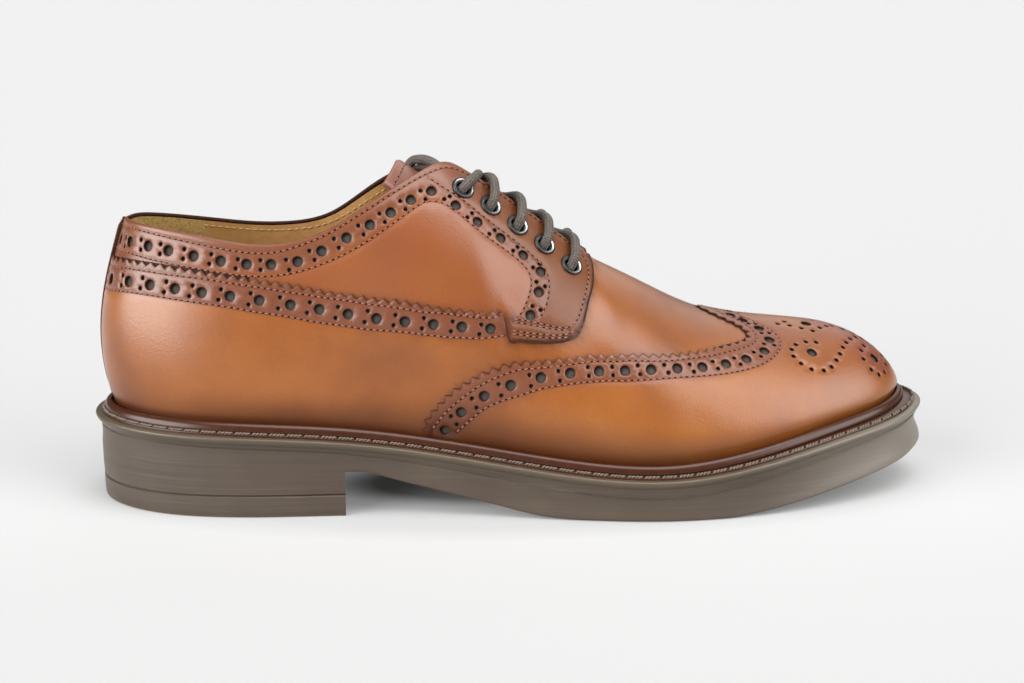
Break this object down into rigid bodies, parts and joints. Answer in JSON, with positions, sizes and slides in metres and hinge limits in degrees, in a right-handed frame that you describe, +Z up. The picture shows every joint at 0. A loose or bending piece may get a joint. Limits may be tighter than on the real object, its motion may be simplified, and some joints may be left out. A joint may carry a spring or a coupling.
{
  "type": "derby shoe",
  "caption": "Leather wing-tip derby shoe for the right foot: hollow upper with open lacing, tongue, eyelets and lace on a welted rubber sole with a stacked heel.",
  "frame": {"origin": "middle of the sole's outline at floor level", "axes": "+X from heel to toe, +Y to the inner side of the foot, +Z up"},
  "size_m": [0.3063, 0.1042, 0.1214],
  "materials": {
    "upper_leather": "smooth tan calf, lightly burnished",
    "welt_leather": "dark brown, waxed edge",
    "lining_leather": "matt olive tan lining",
    "sole_rubber": "matt taupe",
    "heel_rubber": "matt dark taupe",
    "eyelet_metal": "gunmetal",
    "lace_cord": "round waxed braid, grey brown"
  },
  "bodies": {
    "root": {"top_lift": "heel_rubber", "heel_block": "sole_rubber", "outsole": "sole_rubber", "midsole": "sole_rubber", "welt": "welt_leather", "upper": "upper_leather", "insole": "lining_leather", "tongue": "upper_leather", "eyelet_outer_1": "eyelet_metal", "eyelet_outer_2": "eyelet_metal", "eyelet_outer_3": "eyelet_metal", "eyelet_outer_4": "eyelet_metal", "eyelet_outer_5": "eyelet_metal", "eyelet_inner_1": "eyelet_metal", "eyelet_inner_2": "eyelet_metal", "eyelet_inner_3": "eyelet_metal", "eyelet_inner_4": "eyelet_metal", "eyelet_inner_5": "eyelet_metal", "lace_crossing_1": "lace_cord", "lace_crossing_2": "lace_cord", "lace_crossing_3": "lace_cord", "lace_crossing_4": "lace_cord", "lace_bar": "lace_cord"}
  },
  "joints": []
}
